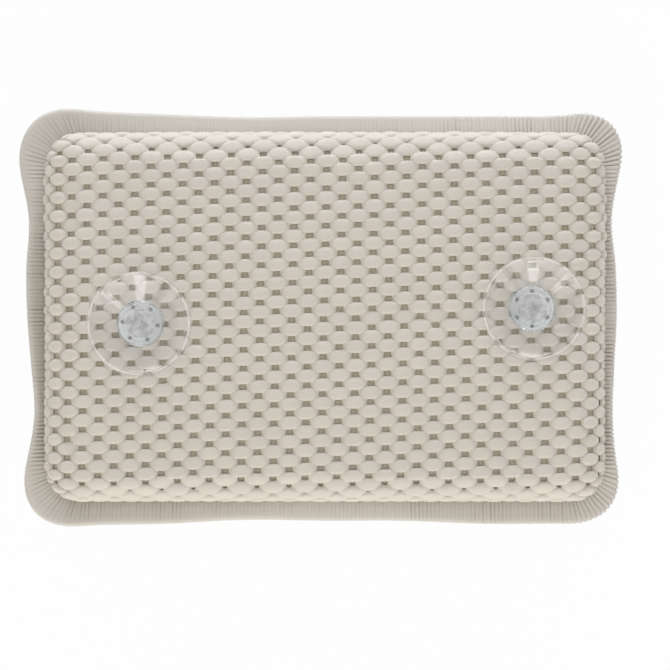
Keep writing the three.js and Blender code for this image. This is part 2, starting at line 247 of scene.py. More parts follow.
# %% Section of the soft edge
BODY_LENGTH, BODY_WIDTH = 0.304, 0.202
BACK_DEPTH, FRONT_DEPTH = 0.029, 0.030
EDGE_ROUND = 0.015
EDGE_SQUARENESS = 0.6
FULLEST_HEIGHT = 0.016
SIDE_TUCK = 0.0025
CORNER_GATHER = 0.0055
SECTION_STEPS = 40
TINY = 1e-9

face_half = np.array([BODY_LENGTH, BODY_WIDTH]) / 2 - EDGE_ROUND
seam_half = np.array([BODY_LENGTH, BODY_WIDTH]) / 2 - SIDE_TUCK


def bezier(start, pull, push, end, steps=SECTION_STEPS):
    t = np.linspace(0, 1, steps + 1)[:, None]
    parts = ((1 - t) ** 3, 3 * (1 - t) ** 2 * t, 3 * (1 - t) * t**2, t**3)
    return sum(part * np.array(point) for part, point in zip(parts, (start, pull, push, end)))


def edge_section(depth):
    """Points (out, up) from the flat face down to the seam, and the sheet used on the way to each."""
    shoulder = FULLEST_HEIGHT + EDGE_SQUARENESS * (depth - FULLEST_HEIGHT)
    seam = EDGE_ROUND - SIDE_TUCK
    full = (EDGE_ROUND, FULLEST_HEIGHT)
    upper = bezier((0, depth), (EDGE_SQUARENESS * EDGE_ROUND, depth), (EDGE_ROUND, shoulder), full)
    lower = bezier(full, (EDGE_ROUND, FULLEST_HEIGHT / 2), (seam, FULLEST_HEIGHT / 3), (seam, 0))
    line = np.vstack([upper, lower[1:]])
    used = np.concatenate([[0], np.cumsum(np.linalg.norm(np.diff(line, axis=0), axis=1))])
    return line, used


edge_run = edge_section(BACK_DEPTH)[1][-1]
sheet_half = face_half + edge_run
print("soft edge uses", round(1000 * edge_run, 1), "mm")
print("flat sheet is", np.round(2000 * sheet_half, 1), "mm")

# %% From the flat sheet to the domed cover
def laid_over(sheet, depth):
    """Places of flat sheet points (n, 2) on a cover of that depth, measured up from the seam."""
    line, used = edge_section(depth)
    corner_start, corner_run = face_half - CORNER_GATHER, CORNER_GATHER + edge_run
    over = np.clip(np.abs(sheet) - corner_start, 0, None) / corner_run
    rounded = over * np.sqrt(np.clip(1 - over[:, ::-1] ** 2 / 2, 0, None))
    reach = np.minimum(1, np.linalg.norm(rounded, axis=1))
    walked = np.concatenate([[0], CORNER_GATHER + used * edge_run / used[-1]])
    out = np.interp(reach * corner_run, walked, [0, *(CORNER_GATHER + line[:, 0])])
    up = np.interp(reach * corner_run, walked, [depth, *line[:, 1]])
    outward = (out / np.maximum(reach, TINY))[:, None] * rounded
    plan = np.sign(sheet) * (np.minimum(np.abs(sheet), corner_start) + outward)
    return np.column_stack([plan, up])


corner_place = laid_over(sheet_half[None, :], BACK_DEPTH)[0]
print("corner of the sheet lies at", np.round(1000 * corner_place, 1), "mm")

# %% [markdown]
# ## Lands for the cups
#
# The back is slightly crowned, but under each cup the cover is drawn flat between two washers. The frame
# tells us where the cups are: the middle of a collar's box gives the axis, and its underside gives the
# height of the land, less the small clearance. We blend the crown flat near each axis.

# %% Crown and lands
BACK_CROWN = 0.003
SEAM_GAP = 0.0003
FIT = 0.0003
LAND_MARGIN, LAND_FADE = 0.004, 0.009
SIDES = ("left", "right")

band_low, band_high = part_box("edge_band")
seam_height = (band_low.z + band_high.z) / 2
cup_axis = {}
land_height = {}
for side in SIDES:
    low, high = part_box(f"{side}_collar")
    cup_axis[side] = np.array([(low.x + high.x) / 2, (low.y + high.y) / 2])
    land_height[side] = low.z - FIT
collar_radius = (high.x - low.x) / 2


def smooth_step(value):
    share = np.clip(value, 0, 1)
    return share * share * (3 - 2 * share)


def land_share(plan, side):
    """1 on the flat land round a cup's axis, falling to 0 a little way off."""
    past = np.linalg.norm(plan - cup_axis[side], axis=1) - collar_radius - LAND_MARGIN
    return 1 - smooth_step(past / LAND_FADE)


def crown_at(plan):
    return BACK_CROWN * np.prod(1 - (plan / seam_half) ** 2, axis=1)


def back_crown(plan):
    rise = crown_at(plan)
    for side in SIDES:
        flat = land_height[side] - seam_height - SEAM_GAP / 2 - BACK_DEPTH
        rise = rise + (flat - rise) * land_share(plan, side)
    return rise


print("cup axes in mm:", {side: np.round(1000 * cup_axis[side], 1).tolist() for side in SIDES})
print("land heights in mm:", {side: round(1000 * land_height[side], 2) for side in SIDES})

# %% [markdown]
# ## Filling the covers out
#
# A real cover is stretched over foam that is a little too big for it, so its faces bulge and its flanks
# are full. We could fake that with a noise, but Blender's cloth does it honestly: we close both covers
# into one casing, start it slightly too small, pin it at the seam and under the cups, and let an inner
# pressure push it out. Only the smooth casing is simulated, which takes seconds, and the beads are laid
# on the result. Afterwards the two ends are swollen a little more, as in the photograph, and the front,
# which lies on the table, is pressed flat.

# %% Grids of the two covers before filling
GRID_STEP = 0.005
LEAST_LENGTH = 1e-12

grid_columns, grid_rows = (int(n) for n in np.round(2 * sheet_half / GRID_STEP) + 1)
grid_across = np.linspace(-sheet_half[0], sheet_half[0], grid_columns)
grid_along = np.linspace(-sheet_half[1], sheet_half[1], grid_rows)
grid_sheet = np.stack(np.meshgrid(grid_across, grid_along), axis=-1).reshape(-1, 2)


def unit(vectors):
    return vectors / np.maximum(np.linalg.norm(vectors, axis=1, keepdims=True), LEAST_LENGTH)


def grid_normals(points, facing):
    """Unit normals of a grid of points, turned to the way the cover faces."""
    grid = points.reshape(grid_rows, grid_columns, 3)
    return facing * unit(np.cross(np.gradient(grid, axis=1), np.gradient(grid, axis=0)).reshape(-1, 3))


back_grid = laid_over(grid_sheet, BACK_DEPTH)
back_grid[:, 2] += seam_height + SEAM_GAP / 2 + back_crown(back_grid[:, :2])
front_grid = laid_over(grid_sheet, FRONT_DEPTH)
front_grid[:, 2] = seam_height - SEAM_GAP / 2 - front_grid[:, 2]
print("cover grids of", grid_rows, "x", grid_columns, "points")
print("top of the back", round(1000 * back_grid[:, 2].max(), 1), "mm")

# %% Where the casing is held
SEAM_FADE = 0.012

to_border = np.min(sheet_half - np.abs(grid_sheet), axis=1)
on_border = to_border < TINY
free_share = smooth_step(to_border / SEAM_FADE)
back_free = free_share.copy()
for side in SIDES:
    back_free *= 1 - land_share(back_grid[:, :2], side)
print(on_border.sum(), "points of each cover lie on the seam")

# %% Close both covers into one casing
START_INSET = 0.0010

grid_count = len(grid_sheet)
front_index = np.where(on_border, np.arange(grid_count), grid_count + np.cumsum(~on_border) - 1)


def closed_skin(back, front):
    """Points and faces of a closed body between two grids, which share the points on the seam."""
    first = (np.arange(grid_rows - 1)[:, None] * grid_columns + np.arange(grid_columns - 1)).ravel()
    quads = np.column_stack([first, first + 1, first + grid_columns + 1, first + grid_columns])
    faces = np.vstack([quads, front_index[quads[:, ::-1]]])
    return np.vstack([back, front[~on_border]]).tolist(), faces.tolist()


back_start = back_grid - START_INSET * back_free[:, None] * grid_normals(back_grid, 1)
front_start = front_grid - START_INSET * free_share[:, None] * grid_normals(front_grid, -1)
casing_points, casing_faces = closed_skin(back_start, front_start)
casing_data = bpy.data.meshes.new("casing")
casing_data.from_pydata(casing_points, [], casing_faces)
print("casing has", len(casing_data.vertices), "points")

# %% Fill the casing with pressure
PRESSURE = 4
CLOTH_QUALITY, CLOTH_MASS = 6, 0.001
FILL_FRAMES = 20
MOST_SWELL = 0.0018
HELD_BELOW = 0.02


def filled(mesh, held):
    """Points of the casing after the cloth has swollen, with the held ones pinned."""
    casing = bpy.data.objects.new("casing", mesh)
    bpy.context.scene.collection.objects.link(casing)
    pins = casing.vertex_groups.new(name="pins")
    pins.add([int(index) for index in held], 1.0, "REPLACE")
    cloth = casing.modifiers.new("cloth", "CLOTH")
    cloth.settings.quality = CLOTH_QUALITY
    cloth.settings.mass = CLOTH_MASS
    cloth.settings.vertex_group_mass = pins.name
    cloth.settings.use_pressure = True
    cloth.settings.uniform_pressure_force = PRESSURE
    cloth.settings.effector_weights.gravity = 0
    cloth.point_cache.frame_end = FILL_FRAMES
    for step in range(1, FILL_FRAMES + 1):
        bpy.context.scene.frame_set(step)
    result = casing.evaluated_get(bpy.context.evaluated_depsgraph_get()).data
    points = np.empty(3 * len(result.vertices))
    result.vertices.foreach_get("co", points)
    bpy.data.objects.remove(casing)
    bpy.context.scene.frame_set(1)
    return points.reshape(-1, 3)


def swollen_out(start, moved, normals):
    """Points moved only outward, by no more than the cover can stretch."""
    outward = np.clip(np.sum((moved - start) * normals, axis=1), 0, MOST_SWELL)
    return start + outward[:, None] * normals


casing_free = np.concatenate([back_free, free_share[~on_border]])
swollen = filled(casing_data, np.flatnonzero(casing_free < HELD_BELOW))
back_grid = swollen_out(back_start, swollen[: len(grid_sheet)], grid_normals(back_start, 1))
front_grid = swollen_out(front_start, swollen[front_index], grid_normals(front_start, -1))
swell = 1000 * np.linalg.norm(back_grid - back_start, axis=1)
print("filling moved the back by up to", round(swell.max(), 2), "mm")

# %% Fuller ends and a flat front
END_SWELL = 0.0006
END_START, END_FADE = -0.002, 0.012


def past_end(flat):
    """0 on the face, rising to 1 over the short ends."""
    return smooth_step((np.abs(flat[:, 0]) - face_half[0] - END_START) / END_FADE)


end_share = past_end(grid_sheet) * free_share
back_grid += END_SWELL * end_share[:, None] * grid_normals(back_grid, 1)
front_grid += END_SWELL * end_share[:, None] * grid_normals(front_grid, -1)
back_grid[on_border, 2] = seam_height + SEAM_GAP / 2
front_grid[on_border, 2] = seam_height - SEAM_GAP / 2
front_grid[:, 2] = np.maximum(front_grid[:, 2], 0)
print("filled body is", np.round(1000 * np.ptp(back_grid[:, :2], axis=0), 1), "mm long and wide")

# %% [markdown]
# ## The beaded sheet
#
# The cover is a net dipped in foam: the foam swells into oval beads in offset rows, like bricks, with a
# small square hole between every four beads. An array modifier would repeat one bead, but it could not
# follow the slight slant of the rows, weld the beads together or bend them over the edges. So we draw one
# bead as a tile with eight sides, four along holes and four along creases that it shares with its
# neighbours, repeat it in code on the flat sheet, and lay every point on the filled cover.

# %% One bead as a tile
HALF_PITCH, ROW_PITCH = 0.00853, 0.004985
HOLE_HALF_LENGTH, HOLE_HALF_WIDTH = 0.00178, 0.00148
BEAD_HALF_LENGTH, BEAD_HALF_WIDTH = 0.0067, 0.0046
BEAD_SQUARENESS = 2.6
BEAD_RISE = 0.0018
SHEET_WALL = 0.0026
RINGS = {0.88: 0.5, 0.72: 0.9, 0.5: 1, 0.25: 1}
ROUNDING = 2.8
RING_PULL = 4
HOLE_SIDE, CREASE_SIDE = "hole", "crease"


def bead_outline():
    """Outline points round one bead, from its middle."""
    tip, flank = HALF_PITCH - HOLE_HALF_LENGTH, ROW_PITCH - HOLE_HALF_WIDTH
    hole_corners = [(tip, HOLE_HALF_WIDTH), (HOLE_HALF_LENGTH, flank)]
    quarter = [(tip, 0), (HALF_PITCH / 2, ROW_PITCH / 2), (0, flank), *hole_corners]
    outline = {(right * x, up * y) for x, y in quarter for right in (1, -1) for up in (1, -1)}
    return np.array(sorted(outline, key=lambda point: np.arctan2(point[1], point[0]) % (2 * np.pi)))


def bead_drop(places):
    """How far the foam lies below the bead's top: a blunt oval dome on a web."""
    oval = np.linalg.norm(places / (BEAD_HALF_LENGTH, BEAD_HALF_WIDTH), ord=BEAD_SQUARENESS, axis=1)
    return BEAD_RISE * np.minimum(oval, 1) ** ROUNDING


tile_outline = bead_outline()
rim_drop = bead_drop(tile_outline)
# The corners of the holes lie equally deep, so that neighbouring beads meet there.
rim_drop[1::2] = rim_drop[1::2].mean()
hole_middles = np.array([(HALF_PITCH, 0), (0, ROW_PITCH), (-HALF_PITCH, 0), (0, -ROW_PITCH)])
# Points round a hole can be drawn to its middle, and the middles of the creases stay.
tile_pull = np.roll(np.repeat(hole_middles, 4, axis=0), -1, axis=0) - tile_outline
tile_pull[2::4] = 0
tile_sides = (HOLE_SIDE, CREASE_SIDE, CREASE_SIDE, HOLE_SIDE) * 4
bead_size = np.round(1000 * np.ptp(tile_outline, axis=0), 1)
print("a bead is", bead_size, "mm, with", len(tile_outline), "outline points")

# %% Beads over the whole flat sheet
ROW_SLANT = np.array([0.000273, 0.000097])
FIRST_HOLE = np.array([-0.00784, 0.06338])
SPARE_PLACES = 3


def lattice_place(column, row):
    """Place on the flat sheet of a lattice point, counted in half pitches from one of the holes."""
    x = FIRST_HOLE[0] + column * HALF_PITCH + row * ROW_SLANT[1]
    y = FIRST_HOLE[1] + column * ROW_SLANT[0] + row * ROW_PITCH
    return np.array([x, y])


def bead_places():
    """Lattice counts of every bead that touches the sheet, with its middle."""
    places = {}
    reach_x, reach_y = (int(n) + SPARE_PLACES for n in np.ceil(2 * sheet_half / (HALF_PITCH, ROW_PITCH)))
    for row in range(-reach_y, reach_y):
        for column in range(-reach_x, reach_x):
            middle = lattice_place(column, row)
            if (column + row) % 2 and np.all(np.abs(middle) < sheet_half + (HALF_PITCH / 2, ROW_PITCH / 2)):
                places[column, row] = middle
    return places


beads = bead_places()
print(len(beads), "beads on one cover")

# %% Points and faces of the net of beads
BEAD_SWELL = 0.00012
SEED = 7
SAME_DIGITS = 7


def net_of_beads():
    """The net's faces, and for each point its flat place, the way to the middle of the hole that it
    borders, its height over the level of the bead tops, the tone and number of its bead and how stiffly
    it keeps that bead's form."""
    chance = np.random.default_rng(SEED)
    known, faces = {}, []
    net = {"place": [], "pull": [], "height": [], "tone": [], "bead": [], "stiff": []}

    def slanted(places):
        shares = places[:, ::-1] / (ROW_PITCH, HALF_PITCH)
        return places + shares * ROW_SLANT[::-1]

    def point(place, pull, height, tone, bead, stiff):
        key = tuple(round(number, SAME_DIGITS) for number in (*place, height))
        if not stiff and key in known:
            return known[key]
        known[key] = len(net["place"])
        for name, value in zip(net, (place, pull, height, tone, bead, stiff)):
            net[name].append(value)
        return known[key]

    count = len(tile_outline)
    steps = [(k, (k + 1) % count) for k in range(count)]
    for bead, ((column, row), middle) in enumerate(beads.items()):
        tone = chance.uniform(-1, 1)
        swell = BEAD_SWELL * chance.uniform(-1, 1)
        outline, pulls = middle + slanted(tile_outline), slanted(tile_pull)
        rim = [point(*where, -drop, 0, bead, 0) for *where, drop in zip(outline, pulls, rim_drop)]
        base = [point(*where, -SHEET_WALL, 0, bead, 0) for where in zip(outline, pulls)]
        outer = rim
        for share, stiff in RINGS.items():
            ring_heights = -bead_drop(tile_outline * share) + swell * (1 - share**2)
            ring_places = middle + (outline - middle) * share
            ring_pulls = pulls * share**RING_PULL
            ring = zip(ring_places, ring_pulls, ring_heights)
            inner = [point(*where, tone, bead, stiff) for where in ring]
            faces += [(outer[k], outer[after], inner[after], inner[k]) for k, after in steps]
            outer = inner
        faces.append(tuple(outer))
        faces.append(tuple(reversed(base)))
        for kind, (k, after) in zip(tile_sides, steps):
            beside = (tile_outline[k] + tile_outline[after]) / 2
            neighbour = (column + int(np.sign(beside[0])), row + int(np.sign(beside[1])))
            if kind == HOLE_SIDE or neighbour not in beads:
                faces.append((rim[after], rim[k], base[k], base[after]))
    return {name: np.array(values) for name, values in net.items()}, faces


net, net_faces = net_of_beads()
print("net of", len(net["place"]), "points and", len(net_faces), "faces")

# %% [markdown]
# To lay the net on a cover, every flat point looks up its place and its normal on the cover's grid. Plain
# linear look-ups would show the grid as facets, so we use the smooth Catmull-Rom weights, which take four
# grid points each way. A little warp of the flat points keeps the rows from looking ruled. Over the bend of
# the long edges the net is bunched, so its holes close up there, and they open again on the flank. What
# reaches past the sheet's border is drawn into a narrow strip along it, because cutting it off would leave
# the mesh open.

# %% Lay the net on a cover
from mathutils import noise

WARP = 0.00030
WARP_SIZE = 0.035
HOLE_CLOSING = 0.8
BEND_FADE = 0.012
FLANK_START, FLANK_FADE = 0.016, 0.008
BORDER_STRIP, BORDER_RUN = 0.0003, 0.004


def smooth_weights(share):
    """Catmull-Rom weights of four neighbours in a row, for a place between the middle two."""
    return np.stack([
        ((2 - share) * share - 1) * share / 2,
        ((3 * share - 5) * share * share + 2) / 2,
        ((4 - 3 * share) * share + 1) * share / 2,
        (share - 1) * share * share / 2,
    ])


def looked_up(values, flat):
    """Smooth look-up of grid values at flat sheet points."""
    grid = values.reshape(grid_rows, grid_columns, 3)
    steps = (flat + sheet_half) / (2 * sheet_half) * (grid_columns - 1, grid_rows - 1)
    whole = np.minimum(np.floor(steps), (grid_columns - 2, grid_rows - 2)).astype(int)
    weights = [smooth_weights(share) for share in (steps - whole).T]
    total = np.zeros((len(flat), 3))
    for i in range(4):
        column = np.clip(whole[:, 0] + i - 1, 0, grid_columns - 1)
        for j in range(4):
            row = np.clip(whole[:, 1] + j - 1, 0, grid_rows - 1)
            total += (weights[0][i] * weights[1][j])[:, None] * grid[row, column]
    return total


def warped(flat):
    """Flat points moved a little, and kept inside the sheet's border."""
    moves = [noise.noise_vector((x / WARP_SIZE, y / WARP_SIZE, SEED)) for x, y in flat]
    moved = flat + WARP * np.array(moves)[:, :2]
    past = np.clip(np.abs(moved) - sheet_half + BORDER_STRIP, 0, None)
    return moved - np.sign(moved) * (past - BORDER_STRIP * (1 - np.exp(-past / BORDER_RUN)))


past_long_edge = np.abs(net["place"][:, 1]) - face_half[1]
on_flank = smooth_step((past_long_edge - FLANK_START) / FLANK_FADE)
on_bend = smooth_step(past_long_edge / BEND_FADE) * (1 - on_flank)
net_flat = warped(net["place"] + net["pull"] * HOLE_CLOSING * on_bend[:, None])
print("holes close by up to", round(100 * HOLE_CLOSING * on_bend.max()), "percent on the bend")

# %% [markdown]
# A foam bead is stiffer than the creases between beads, so round the edges it keeps its form like a pebble:
# its inner points are placed in a flat frame that touches the cover at the bead's middle. The creases are
# deeper over the short ends, where the net is stretched, and shallower on the bend of the long edges.

# %% Beads that keep their form
FRAME_STEP = 0.002
END_RELIEF, BEND_RELIEF = 0.95, -0.25
LEAST_WALL = 0.0003

relief = (1 + END_RELIEF * past_end(net_flat)) * (1 + BEND_RELIEF * on_bend)
net_heights = np.maximum(net["height"] * relief, LEAST_WALL - SHEET_WALL)
net_heights[net["height"] <= -SHEET_WALL] = -SHEET_WALL
flat_middles = np.array(list(beads.values()))
bead_middles = warped(flat_middles)
inside = np.abs(flat_middles) + (HALF_PITCH, ROW_PITCH) < sheet_half
net_stiff = net["stiff"] * np.all(inside, axis=1)[net["bead"]]


def laid_net(grid, facing):
    """Places of the net's points on a cover that faces up or down."""
    normals = grid_normals(grid, facing)
    bent = looked_up(grid, net_flat) + unit(looked_up(normals, net_flat)) * net_heights[:, None]
    lift = unit(looked_up(normals, bead_middles))
    steps = FRAME_STEP * np.eye(2)
    runs = [looked_up(grid, bead_middles + step) - looked_up(grid, bead_middles - step) for step in steps]
    bead = net["bead"]
    offset = (net_flat - bead_middles[bead]) / (2 * FRAME_STEP)
    stiff = looked_up(grid, bead_middles)[bead] + lift[bead] * net_heights[:, None]
    stiff += offset[:, :1] * runs[0][bead] + offset[:, 1:] * runs[1][bead]
    return bent + net_stiff[:, None] * (stiff - bent)


back_places = laid_net(back_grid, 1)
front_places = laid_net(front_grid, -1)
front_places[:, 2] = np.maximum(front_places[:, 2], 0)
print("back beads reach", round(1000 * back_places[:, 2].max(), 2), "mm")

# %% Build a cover as a mesh
import bmesh


def new_object(name, points, faces):
    mesh = bpy.data.meshes.new(name)
    mesh.from_pydata(np.asarray(points).tolist(), [], faces)
    piece = bpy.data.objects.new(name, mesh)
    bpy.context.scene.collection.objects.link(piece)
    return piece


def add_value(piece, name, values):
    """Stores one number for each point, which a material can read."""
    layer = piece.data.attributes.new(name, "FLOAT", "POINT")
    layer.data.foreach_set("value", np.asarray(values, dtype=np.float32))


def measured(piece):
    """Volume of a piece in cubic centimetres, and how many of its edges are open."""
    work = bmesh.new()
    work.from_mesh(piece.data)
    volume, open_edges = work.calc_volume() * 1e6, sum(len(edge.link_faces) != 2 for edge in work.edges)
    work.free()
    return round(volume, 2), open_edges


def beaded_cover(name, places, faces):
    cover = new_object(name, places, faces)
    add_value(cover, "tone", net["tone"])
    # The rise also sets the painted shade of the foam towards the holes.
    add_value(cover, "rise", 1 + net["height"] / BEAD_RISE)
    cover.data.shade_smooth()
    return cover


back_cover = beaded_cover("back_beads", back_places, net_faces)
front_cover = beaded_cover("front_beads", front_places, [face[::-1] for face in net_faces])
print("volume and open edges of the covers:", measured(back_cover), measured(front_cover))

# %% [markdown]
# ## Eyelets
#
# The neck of each cup passes through the back cover. The hole is hidden under the cup, but the mesh would
# otherwise run through the neck, so we cut it with a short cylinder and a Boolean modifier, and apply it.
# The Manifold solver keeps a closed mesh closed. It leaves an empty material slot, which we clear.

# %% Cut the eyelets
EYELET_RADIUS = 0.005
EYELET_SIDES = 32
EYELET_REACH = 3 * SHEET_WALL


def post(radius, bottom, top, axis, sides=EYELET_SIDES):
    """Upright cylinder to cut with."""
    turn = 2 * np.pi * np.arange(sides) / sides
    ring = np.column_stack([axis[0] + radius * np.cos(turn), axis[1] + radius * np.sin(turn)])
    points = np.vstack([np.column_stack([ring, np.full(sides, height)]) for height in (bottom, top)])
    caps = [tuple(range(sides))[::-1], tuple(range(sides, 2 * sides))]
    return new_object("cutter", points, ring_faces(2, sides) + caps)


def cut(piece, cutter):
    difference = piece.modifiers.new("cut", "BOOLEAN")
    difference.operation = "DIFFERENCE"
    difference.solver = "MANIFOLD"
    difference.object = cutter
    with bpy.context.temp_override(object=piece, active_object=piece):
        bpy.ops.object.modifier_apply(modifier=difference.name)
    piece.data.materials.clear()
    bpy.data.objects.remove(cutter)


for side in SIDES:
    bottom, top = land_height[side] - EYELET_REACH, land_height[side] + EYELET_REACH
    cut(back_cover, post(EYELET_RADIUS, bottom, top, cup_axis[side]))
print("after the eyelets, volume and open edges of the back cover:", measured(back_cover))

# %% [markdown]
# ## The finish of the foam
#
# The beads are matt foam in warm off-white. One flat colour would look like plaster, so the material reads
# the two numbers stored with the points: every bead is a shade lighter or darker than the next, and painted
# shade darkens the foam where it sinks towards a hole. Fine pores come from a small bump.

# %% Foam material
FOAM_COLOUR = (0.660, 0.610, 0.541)
# Painted shade: the foam's colour where it sinks towards a hole.
FOAM_PAINTED_SHADE_COLOUR = (0.590, 0.540, 0.465)
FOAM_RISE = 0.6
FOAM_ROUGHNESS, FOAM_SPECULAR = 0.62, 0.35
TONE_RANGE = 0.02
PORE_SIZE, PORE_STRENGTH, PORE_DEPTH, PORE_DETAIL = 0.0004, 0.25, 0.0001, 3


def add_pores(nodes, links, size, strength, distance):
    """Fine bump of closed foam cells."""
    where = nodes.new("ShaderNodeTexCoord")
    cells = nodes.new("ShaderNodeTexNoise")
    cells.inputs["Scale"].default_value = 1 / size
    cells.inputs["Detail"].default_value = PORE_DETAIL
    links.new(where.outputs["Object"], cells.inputs["Vector"])
    bump = nodes.new("ShaderNodeBump")
    bump.inputs["Strength"].default_value = strength
    bump.inputs["Distance"].default_value = distance
    links.new(cells.outputs["Fac"], bump.inputs["Height"])
    links.new(bump.outputs["Normal"], nodes["Principled BSDF"].inputs["Normal"])
    return cells


def value_of(nodes, name):
    reader = nodes.new("ShaderNodeAttribute")
    reader.attribute_name = name
    return reader.outputs["Fac"]


def colour_ramp(nodes, links, factor, low, high, places=(0, 1)):
    """Goes from one colour to another while a factor rises between two places."""
    ramp = nodes.new("ShaderNodeValToRGB")
    for element, place, colour in zip(ramp.color_ramp.elements, places, (low, high)):
        element.position = place
        element.color = (*colour, 1)
    links.new(factor, ramp.inputs["Fac"])
    return ramp.outputs["Color"]


def foam_material():
    material, nodes, links = new_material("bead_foam")
    shader = nodes["Principled BSDF"]
    rise = value_of(nodes, "rise")
    # Painted shade: the foam darkens as it sinks towards the holes, by the stored rise.
    colour = colour_ramp(nodes, links, rise, FOAM_PAINTED_SHADE_COLOUR, FOAM_COLOUR, (0, FOAM_RISE))
    spread = nodes.new("ShaderNodeMapRange")
    spread.inputs["From Min"].default_value = -1
    spread.inputs["To Min"].default_value = 1 - TONE_RANGE
    spread.inputs["To Max"].default_value = 1 + TONE_RANGE
    links.new(value_of(nodes, "tone"), spread.inputs["Value"])
    shade = nodes.new("ShaderNodeHueSaturation")
    links.new(spread.outputs["Result"], shade.inputs["Value"])
    links.new(colour, shade.inputs["Color"])
    links.new(shade.outputs["Color"], shader.inputs["Base Color"])
    shader.inputs["Roughness"].default_value = FOAM_ROUGHNESS
    shader.inputs["Specular IOR Level"].default_value = FOAM_SPECULAR
    add_pores(nodes, links, PORE_SIZE, PORE_STRENGTH, PORE_DEPTH)
    return material


bead_foam = foam_material()
for cover, node in ((back_cover, "back_cover"), (front_cover, "front_cover")):
    cover.data.materials.append(bead_foam)
    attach(cover, "pillow")
    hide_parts(node)
print("covers dressed in", bead_foam.name)

# %% [markdown]
# ## The filling
#
# Of the foam block only a tan tone shows, through the holes of the net. It is still a whole piece: the
# covers' own grids, drawn in by the thickness of the net, give a filling that fits everywhere, and the
# seam points close it. Each cup's washer and head get a stepped pocket, cut as the eyelets were.

# %% Foam core
CORE_INSET = SHEET_WALL + FIT
HEAD_ROOM = 0.0092
HEAD_FLOOR_DROP = 0.0130
WASHER_ROOM = 0.0005
WELD = 1e-6


def weld(piece):
    """Joins points that fell together, drops faces without area, and shades what is left smooth."""
    work = bmesh.new()
    work.from_mesh(piece.data)
    bmesh.ops.remove_doubles(work, verts=work.verts, dist=WELD)
    bmesh.ops.dissolve_degenerate(work, dist=WELD, edges=work.edges)
    bmesh.ops.delete(work, geom=[edge for edge in work.edges if edge.is_wire], context="EDGES")
    for face in work.faces:
        face.smooth = True
    work.to_mesh(piece.data)
    work.free()


def foam_core():
    """Closed block inside both covers."""
    back = back_grid - CORE_INSET * grid_normals(back_grid, 1)
    front = front_grid - CORE_INSET * grid_normals(front_grid, -1)
    back[on_border] = (back + front)[on_border] / 2
    return new_object("core_block", *closed_skin(back, front))


core = foam_core()
weld(core)
for side in SIDES:
    low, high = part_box(f"{side}_washer")
    top = land_height[side] + SHEET_WALL
    cut(core, post((high.x - low.x) / 2 + WASHER_ROOM, low.z - WASHER_ROOM, top, cup_axis[side]))
    cut(core, post(HEAD_ROOM, land_height[side] - HEAD_FLOOR_DROP, top, cup_axis[side]))
print("core has", len(core.data.polygons), "faces")

# %% Foam core material
CORE_COLOUR = (0.53, 0.48, 0.367)
CORE_PALE_COLOUR = (0.65, 0.592, 0.47)
CORE_CELL, CELL_STRENGTH, CELL_DEPTH = 0.0011, 0.8, 0.0005
CORE_ROUGHNESS, CORE_SPECULAR = 0.95, 0.15
CORE_RAMP = (0.35, 0.65)


def core_material():
    material, nodes, links = new_material("open_foam")
    shader = nodes["Principled BSDF"]
    shader.inputs["Roughness"].default_value = CORE_ROUGHNESS
    shader.inputs["Specular IOR Level"].default_value = CORE_SPECULAR
    cells = add_pores(nodes, links, CORE_CELL, CELL_STRENGTH, CELL_DEPTH)
    colour = colour_ramp(nodes, links, cells.outputs["Fac"], CORE_COLOUR, CORE_PALE_COLOUR, CORE_RAMP)
    links.new(colour, shader.inputs["Base Color"])
    return material


core.data.materials.append(core_material())
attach(core, "pillow")
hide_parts("foam_core")
print("core dressed")

# %% [markdown]
# ## The ribbed band
#
# The band is a strip of ribbed foam sheet folded over the seam, with more than four hundred narrow
# ribs. It was fed by hand, so it stands out unevenly: widest at the corners, and wider on the left than on
# the right. A curve with a bevel would give an even rope. Instead we walk round the seam, place one
# section at every step, and vary its reach and its thickness: slowly for the waves, quickly for the ribs.

# %% Walk round the seam
SEAM_RADIUS = CORNER_GATHER + EDGE_ROUND - SIDE_TUCK
STRAIGHT_STATIONS, CORNER_STATIONS = 6, 2
MIDDLE_STATION = STRAIGHT_STATIONS / 2

stations_round = 4 * (STRAIGHT_STATIONS + CORNER_STATIONS)
corner_centre = seam_half - SEAM_RADIUS
side_straights = 2 * corner_centre[[1, 0, 1, 0]]
corner_arc = SEAM_RADIUS * np.pi / 2
side_starts = np.concatenate([[0], np.cumsum(side_straights + corner_arc)])
seam_length = side_starts[-1]


def seam_walk(lengths):
    """Points, outward directions and stations of lengths walked round the seam, from the right side's foot.
    Stations are counted along each side's straight and round the corner after it."""
    side = np.clip(np.searchsorted(side_starts, lengths, side="right") - 1, 0, 3)
    past = lengths - side_starts[side]
    along = np.minimum(past, side_straights[side])
    bend = np.maximum(past - side_straights[side], 0)
    facing = side * np.pi / 2
    feet = corner_centre * np.array([(1, -1), (1, 1), (-1, 1), (-1, -1)])
    walked = np.column_stack([-np.sin(facing), np.cos(facing)]) * along[:, None]
    turned = facing + bend / SEAM_RADIUS
    outs = np.column_stack([np.cos(turned), np.sin(turned)])
    stations = side * stations_round / 4 + STRAIGHT_STATIONS * along / side_straights[side]
    stations += CORNER_STATIONS * bend / corner_arc
    return feet[side] + walked + SEAM_RADIUS * outs, outs, stations


print("seam is", round(1000 * seam_length), "mm long")

# %% How far the band stands out
BAND_REACH = {
    "right": (10.6, 8.2, 9.3, 10.7, 10.1, 7.9, 12.5, 18.7),
    "top": (12.8, 12.3, 12.2, 12.2, 11.7, 13.3, 15.3, 20.9),
    "left": (17.6, 12.8, 13.8, 13.1, 11.1, 9.6, 14.0, 19.8),
    "bottom": (15.8, 14.9, 12.9, 13.5, 13.5, 15.0, 15.0, 16.5),
}


def around(values, stations):
    """Smooth look-up in values that stand evenly round the closed walk."""
    steps = stations * len(values) / stations_round
    whole = np.floor(steps).astype(int)
    weights = smooth_weights(steps - whole)
    return sum(weights[k] * values[(whole + k - 1) % len(values)] for k in range(4))


